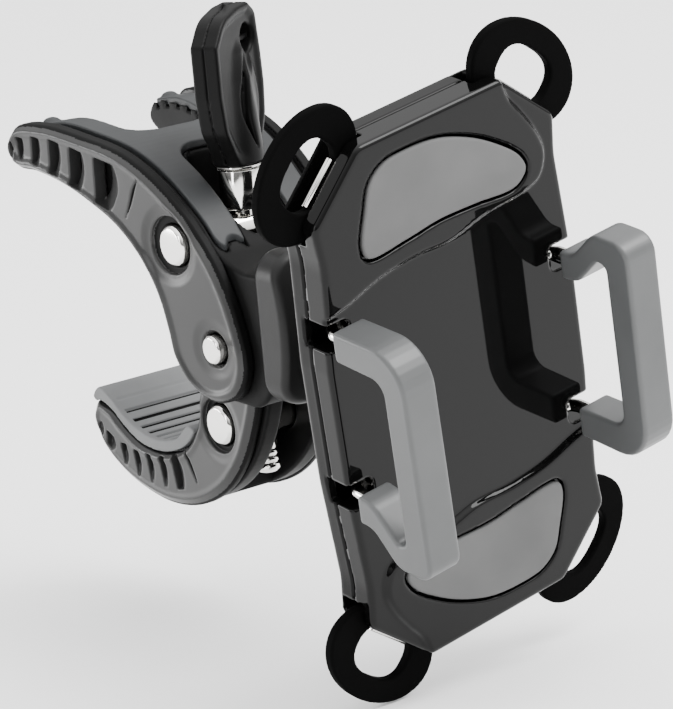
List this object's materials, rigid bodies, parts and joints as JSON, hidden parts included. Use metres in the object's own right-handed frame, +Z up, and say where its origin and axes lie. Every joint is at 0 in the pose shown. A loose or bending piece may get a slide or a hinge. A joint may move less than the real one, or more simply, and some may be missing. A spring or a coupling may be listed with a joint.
{
  "type": "phone handlebar mount",
  "caption": "Handlebar phone mount with a scissor-jaw clamp, wing knob, ball joint, spring-closed cradle with looped side grips and elastic corner loops",
  "frame": {"origin": "axis of the handlebar opening, midway across the jaws", "axes": "+X along the handlebar, +Y from the phone towards the handlebar, +Z up along the clamp bolt towards the knob"},
  "size_m": [0.1016, 0.1581, 0.1449],
  "materials": {
    "core": "fine-textured black moulding",
    "cover": "satin charcoal moulding",
    "top_plate": "satin blue-grey moulding",
    "jaw_rubber": "matte mid-grey rubber",
    "nickel": "polished nickel plate",
    "knob": "textured black moulding",
    "ring": "textured dark moulding",
    "spring_steel": "drawn spring wire",
    "dark_steel": "dark plated steel",
    "nylon": "natural nylon",
    "shell": "semi-gloss black moulding",
    "gloss_front": "mirror-gloss black moulding",
    "loop_rubber": "matte black elastomer",
    "phone_pad": "matte grey rubber with fine texture",
    "grip": "satin grey moulding"
  },
  "bodies": {
    "upper_jaw": {"upper_core": "core", "jaw_top_plate": "top_plate", "upper_lining": "jaw_rubber", "upper_cover_left": "cover", "upper_cover_right": "cover", "jaw_pivot_pin": "nickel", "ball_collar": "nylon"},
    "trunnion": {"upper_trunnion": "nickel", "knob_sleeve": "nickel", "opening_spring": "spring_steel"},
    "knob": {"clamp_knob": "knob", "knob_washer": "nickel", "clamp_bolt": "nickel"},
    "lower_jaw": {"lower_core": "core", "lower_pad": "jaw_rubber", "lower_cover_left": "cover", "lower_cover_right": "cover"},
    "barrel_nut": {"barrel_nut": "nickel"},
    "lock_ring": {"lock_ring": "ring"},
    "ball_seat": {"ball_seat": "nylon"},
    "ball_stud": {"ball_stud": "dark_steel", "swivel_washer": "nylon", "retaining_washer": "dark_steel", "swivel_screw": "nickel"},
    "cradle": {"cradle_rear_cover": "shell", "cradle_screw_1": "dark_steel", "cradle_screw_2": "dark_steel", "cradle_screw_3": "dark_steel", "cradle_screw_4": "dark_steel", "cradle_front_cover": "gloss_front", "phone_pad_upper": "phone_pad", "phone_pad_lower": "phone_pad", "loop_pin_top_right": "nickel", "loop_pin_bottom_right": "nickel", "loop_pin_bottom_left": "nickel", "loop_pin_top_left": "nickel"},
    "left_grip": {"grip_left": "grip", "grip_rod_left_high": "nickel", "grip_rod_left_low": "nickel", "carriage_left": "nylon", "grip_spring_left": "spring_steel"},
    "right_grip": {"grip_right": "grip", "grip_rod_right_high": "nickel", "grip_rod_right_low": "nickel", "carriage_right": "nylon", "grip_spring_right": "spring_steel"},
    "pinion": {"sync_pinion": "nylon"},
    "loop_top_right": {"corner_loop_top_right": "loop_rubber"},
    "loop_bottom_right": {"corner_loop_bottom_right": "loop_rubber"},
    "loop_bottom_left": {"corner_loop_bottom_left": "loop_rubber"},
    "loop_top_left": {"corner_loop_top_left": "loop_rubber"}
  },
  "joints": [
    {"name": "knob_turn", "type": "hinge", "parent": "trunnion", "child": "knob", "pos_m": [0, -0.025, 0.022], "axis": [0, 0, -1], "range_deg": [-360, 1440]},
    {"name": "jaw_hinge", "type": "hinge", "parent": "upper_jaw", "child": "lower_jaw", "pos_m": [0, -0.0363, 0], "axis": [1, 0, 0], "range_deg": [-5.27, 20.48], "deforming": ["opening_spring"]},
    {"name": "trunnion_turn", "type": "hinge", "parent": "upper_jaw", "child": "trunnion", "pos_m": [0, -0.025, 0.022], "axis": [1, 0, 0], "range_deg": [-2.67, 10.09]},
    {"name": "nut_turn", "type": "hinge", "parent": "lower_jaw", "child": "barrel_nut", "pos_m": [0, -0.025, -0.021], "axis": [1, 0, 0], "range_deg": [-10.6, 2.8]},
    {"name": "lock_ring_turn", "type": "hinge", "parent": "upper_jaw", "child": "lock_ring", "pos_m": [0, -0.0562, 0.0065], "axis": [0, -1, 0], "range_deg": [-60, 0]},
    {"name": "ball_tilt", "type": "hinge", "parent": "upper_jaw", "child": "ball_seat", "pos_m": [0, -0.0562, 0.0065], "axis": [1, 0, 0], "range_deg": [-26, 9]},
    {"name": "ball_pan", "type": "hinge", "parent": "ball_seat", "child": "ball_stud", "pos_m": [0, -0.0562, 0.0065], "axis": [0, -0.1494, 0.9888], "range_deg": [-18, 16]},
    {"name": "cradle_swivel", "type": "hinge", "parent": "ball_stud", "child": "cradle", "pos_m": [0, -0.0562, 0.0065], "axis": [0.0364, -0.9891, -0.143], "continuous": true},
    {"name": "left_grip_slide", "type": "slide", "parent": "cradle", "child": "left_grip", "axis": [-0.9841, -0.0106, -0.1776], "range_m": [0, 0.01], "stiffness_N_per_m": 60, "springref_m": -0.05, "deforming": ["grip_spring_left"]},
    {"name": "right_grip_slide", "type": "slide", "parent": "cradle", "child": "right_grip", "axis": [0.9841, 0.0106, 0.1776], "range_m": [0, 0.01], "deforming": ["grip_spring_right"]},
    {"name": "pinion_turn", "type": "hinge", "parent": "cradle", "child": "pinion", "pos_m": [0.00146, -0.09576, 0.00078], "axis": [0.0364, -0.9891, -0.143], "range_deg": [0, 95.99]},
    {"name": "loop_top_right_swing", "type": "hinge", "parent": "cradle", "child": "loop_top_right", "pos_m": [0.01766, -0.10156, 0.05762], "axis": [0.8316, 0.1093, -0.5446], "range_deg": [0, 28], "stiffness_Nm_per_rad": 0.004},
    {"name": "loop_bottom_right_swing", "type": "hinge", "parent": "cradle", "child": "loop_bottom_right", "pos_m": [0.03625, -0.08585, -0.04632], "axis": [-0.5909, 0.0941, -0.8012], "range_deg": [0, 28], "stiffness_Nm_per_rad": 0.004},
    {"name": "loop_bottom_left_swing", "type": "hinge", "parent": "cradle", "child": "loop_bottom_left", "pos_m": [-0.01488, -0.0864, -0.05555], "axis": [-0.8316, -0.1093, 0.5446], "range_deg": [0, 28], "stiffness_Nm_per_rad": 0.004},
    {"name": "loop_top_left_swing", "type": "hinge", "parent": "cradle", "child": "loop_top_left", "pos_m": [-0.03347, -0.10211, 0.0484], "axis": [0.5909, -0.0941, 0.8012], "range_deg": [0, 28], "stiffness_Nm_per_rad": 0.004}
  ],
  "couplings": [
    {"joint": "jaw_hinge", "follows": "knob_turn", "ratio": 0.014085},
    {"joint": "trunnion_turn", "follows": "knob_turn", "ratio": 0.006865},
    {"joint": "nut_turn", "follows": "knob_turn", "ratio": -0.00722},
    {"joint": "right_grip_slide", "follows": "left_grip_slide", "ratio": 1},
    {"joint": "pinion_turn", "follows": "left_grip_slide", "rad_per_m": 166.67}
  ]
}
